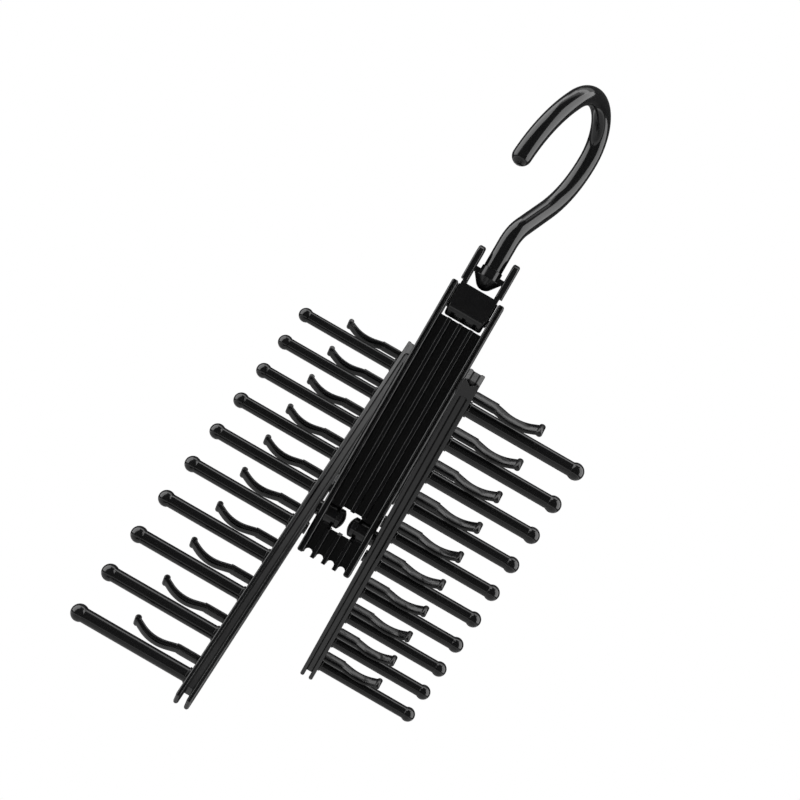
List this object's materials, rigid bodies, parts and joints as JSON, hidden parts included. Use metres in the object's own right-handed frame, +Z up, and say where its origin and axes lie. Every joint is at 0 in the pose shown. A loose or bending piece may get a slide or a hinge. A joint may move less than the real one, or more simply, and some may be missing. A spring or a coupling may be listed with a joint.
{
  "type": "tie hanger",
  "caption": "Black plastic tie hanger: a swivel hook and tilting yoke on a ribbed spine, with swinging rails of ball-ended pegs and spring clips that hold neckties.",
  "frame": {"origin": "on the hook's swivel axis, level with the underside of the hook's crown", "axes": "+Z up along the swivel axis, X along the pegs, -Y towards the viewer of the picture"},
  "size_m": [0.1322, 0.147, 0.2747],
  "materials": {
    "hook": "polished black",
    "fittings": "polished black",
    "spine": "polished black",
    "rails": "polished black",
    "pegs": "polished black",
    "clips": "polished black",
    "pin": "drawn steel"
  },
  "bodies": {
    "hook": {"hook": "hook", "hook_end_cone": "fittings"},
    "yoke": {"yoke": "fittings"},
    "spine": {"spine": "spine", "yoke_pin": "pin"},
    "left_clip_01": {"left_clip_01": "clips"},
    "left_clip_02": {"left_clip_02": "clips"},
    "left_clip_03": {"left_clip_03": "clips"},
    "left_clip_04": {"left_clip_04": "clips"},
    "left_clip_05": {"left_clip_05": "clips"},
    "left_clip_06": {"left_clip_06": "clips"},
    "left_clip_07": {"left_clip_07": "clips"},
    "left_clip_08": {"left_clip_08": "clips"},
    "left_clip_09": {"left_clip_09": "clips"},
    "left_clip_10": {"left_clip_10": "clips"},
    "left_rail": {"left_rail": "rails", "left_axle_cap": "fittings", "left_peg_01": "pegs", "left_peg_02": "pegs", "left_peg_03": "pegs", "left_peg_04": "pegs", "left_peg_05": "pegs", "left_peg_06": "pegs", "left_peg_07": "pegs", "left_peg_08": "pegs", "left_peg_09": "pegs", "left_peg_10": "pegs"},
    "right_clip_01": {"right_clip_01": "clips"},
    "right_clip_02": {"right_clip_02": "clips"},
    "right_clip_03": {"right_clip_03": "clips"},
    "right_clip_04": {"right_clip_04": "clips"},
    "right_clip_05": {"right_clip_05": "clips"},
    "right_clip_06": {"right_clip_06": "clips"},
    "right_clip_07": {"right_clip_07": "clips"},
    "right_clip_08": {"right_clip_08": "clips"},
    "right_clip_09": {"right_clip_09": "clips"},
    "right_clip_10": {"right_clip_10": "clips"},
    "right_rail": {"right_rail": "rails", "right_axle_cap": "fittings", "right_peg_01": "pegs", "right_peg_02": "pegs", "right_peg_03": "pegs", "right_peg_04": "pegs", "right_peg_05": "pegs", "right_peg_06": "pegs", "right_peg_07": "pegs", "right_peg_08": "pegs", "right_peg_09": "pegs", "right_peg_10": "pegs"}
  },
  "joints": [
    {"name": "hook_swivel", "type": "hinge", "parent": "hook", "child": "yoke", "pos_m": [0, 0, -0.0755], "axis": [0, 0, 1], "continuous": true},
    {"name": "yoke_tilt", "type": "hinge", "parent": "yoke", "child": "spine", "pos_m": [0, 0, -0.0951], "axis": [1, 0, 0], "range_deg": [-90, 90]},
    {"name": "left_rail_swing", "type": "hinge", "parent": "spine", "child": "left_rail", "pos_m": [-0.0128, 0, -0.1908], "axis": [-1, 0, 0], "range_deg": [-44, 46]},
    {"name": "left_clip_01_flex", "type": "hinge", "parent": "left_rail", "child": "left_clip_01", "pos_m": [-0.0179, 0.06575, -0.12271], "axis": [0, 0.7193, -0.6947], "range_deg": [-5, 10], "stiffness_Nm_per_rad": 0.05},
    {"name": "left_clip_02_flex", "type": "hinge", "parent": "left_rail", "child": "left_clip_02", "pos_m": [-0.0179, 0.05186, -0.1371], "axis": [0, 0.7193, -0.6947], "range_deg": [-5, 10], "stiffness_Nm_per_rad": 0.05},
    {"name": "left_clip_03_flex", "type": "hinge", "parent": "left_rail", "child": "left_clip_03", "pos_m": [-0.0179, 0.03796, -0.15149], "axis": [0, 0.7193, -0.6947], "range_deg": [-5, 10], "stiffness_Nm_per_rad": 0.05},
    {"name": "left_clip_04_flex", "type": "hinge", "parent": "left_rail", "child": "left_clip_04", "pos_m": [-0.0179, 0.02407, -0.16587], "axis": [0, 0.7193, -0.6947], "range_deg": [-5, 10], "stiffness_Nm_per_rad": 0.05},
    {"name": "left_clip_05_flex", "type": "hinge", "parent": "left_rail", "child": "left_clip_05", "pos_m": [-0.0179, 0.01018, -0.18026], "axis": [0, 0.7193, -0.6947], "range_deg": [-5, 10], "stiffness_Nm_per_rad": 0.05},
    {"name": "left_clip_06_flex", "type": "hinge", "parent": "left_rail", "child": "left_clip_06", "pos_m": [-0.0179, -0.00372, -0.19465], "axis": [0, 0.7193, -0.6947], "range_deg": [-5, 10], "stiffness_Nm_per_rad": 0.05},
    {"name": "left_clip_07_flex", "type": "hinge", "parent": "left_rail", "child": "left_clip_07", "pos_m": [-0.0179, -0.01761, -0.20903], "axis": [0, 0.7193, -0.6947], "range_deg": [-5, 10], "stiffness_Nm_per_rad": 0.05},
    {"name": "left_clip_08_flex", "type": "hinge", "parent": "left_rail", "child": "left_clip_08", "pos_m": [-0.0179, -0.0315, -0.22342], "axis": [0, 0.7193, -0.6947], "range_deg": [-5, 10], "stiffness_Nm_per_rad": 0.05},
    {"name": "left_clip_09_flex", "type": "hinge", "parent": "left_rail", "child": "left_clip_09", "pos_m": [-0.0179, -0.0454, -0.23781], "axis": [0, 0.7193, -0.6947], "range_deg": [-5, 10], "stiffness_Nm_per_rad": 0.05},
    {"name": "left_clip_10_flex", "type": "hinge", "parent": "left_rail", "child": "left_clip_10", "pos_m": [-0.0179, -0.05929, -0.2522], "axis": [0, 0.7193, -0.6947], "range_deg": [-5, 10], "stiffness_Nm_per_rad": 0.05},
    {"name": "right_rail_swing", "type": "hinge", "parent": "spine", "child": "right_rail", "pos_m": [0.0128, 0, -0.1908], "axis": [1, 0, 0], "range_deg": [-44, 46]},
    {"name": "right_clip_01_flex", "type": "hinge", "parent": "right_rail", "child": "right_clip_01", "pos_m": [0.0179, -0.06575, -0.12271], "axis": [0, -0.7193, -0.6947], "range_deg": [-5, 10], "stiffness_Nm_per_rad": 0.05},
    {"name": "right_clip_02_flex", "type": "hinge", "parent": "right_rail", "child": "right_clip_02", "pos_m": [0.0179, -0.05186, -0.1371], "axis": [0, -0.7193, -0.6947], "range_deg": [-5, 10], "stiffness_Nm_per_rad": 0.05},
    {"name": "right_clip_03_flex", "type": "hinge", "parent": "right_rail", "child": "right_clip_03", "pos_m": [0.0179, -0.03796, -0.15149], "axis": [0, -0.7193, -0.6947], "range_deg": [-5, 10], "stiffness_Nm_per_rad": 0.05},
    {"name": "right_clip_04_flex", "type": "hinge", "parent": "right_rail", "child": "right_clip_04", "pos_m": [0.0179, -0.02407, -0.16587], "axis": [0, -0.7193, -0.6947], "range_deg": [-5, 10], "stiffness_Nm_per_rad": 0.05},
    {"name": "right_clip_05_flex", "type": "hinge", "parent": "right_rail", "child": "right_clip_05", "pos_m": [0.0179, -0.01018, -0.18026], "axis": [0, -0.7193, -0.6947], "range_deg": [-5, 10], "stiffness_Nm_per_rad": 0.05},
    {"name": "right_clip_06_flex", "type": "hinge", "parent": "right_rail", "child": "right_clip_06", "pos_m": [0.0179, 0.00372, -0.19465], "axis": [0, -0.7193, -0.6947], "range_deg": [-5, 10], "stiffness_Nm_per_rad": 0.05},
    {"name": "right_clip_07_flex", "type": "hinge", "parent": "right_rail", "child": "right_clip_07", "pos_m": [0.0179, 0.01761, -0.20903], "axis": [0, -0.7193, -0.6947], "range_deg": [-5, 10], "stiffness_Nm_per_rad": 0.05},
    {"name": "right_clip_08_flex", "type": "hinge", "parent": "right_rail", "child": "right_clip_08", "pos_m": [0.0179, 0.0315, -0.22342], "axis": [0, -0.7193, -0.6947], "range_deg": [-5, 10], "stiffness_Nm_per_rad": 0.05},
    {"name": "right_clip_09_flex", "type": "hinge", "parent": "right_rail", "child": "right_clip_09", "pos_m": [0.0179, 0.0454, -0.23781], "axis": [0, -0.7193, -0.6947], "range_deg": [-5, 10], "stiffness_Nm_per_rad": 0.05},
    {"name": "right_clip_10_flex", "type": "hinge", "parent": "right_rail", "child": "right_clip_10", "pos_m": [0.0179, 0.05929, -0.2522], "axis": [0, -0.7193, -0.6947], "range_deg": [-5, 10], "stiffness_Nm_per_rad": 0.05}
  ]
}
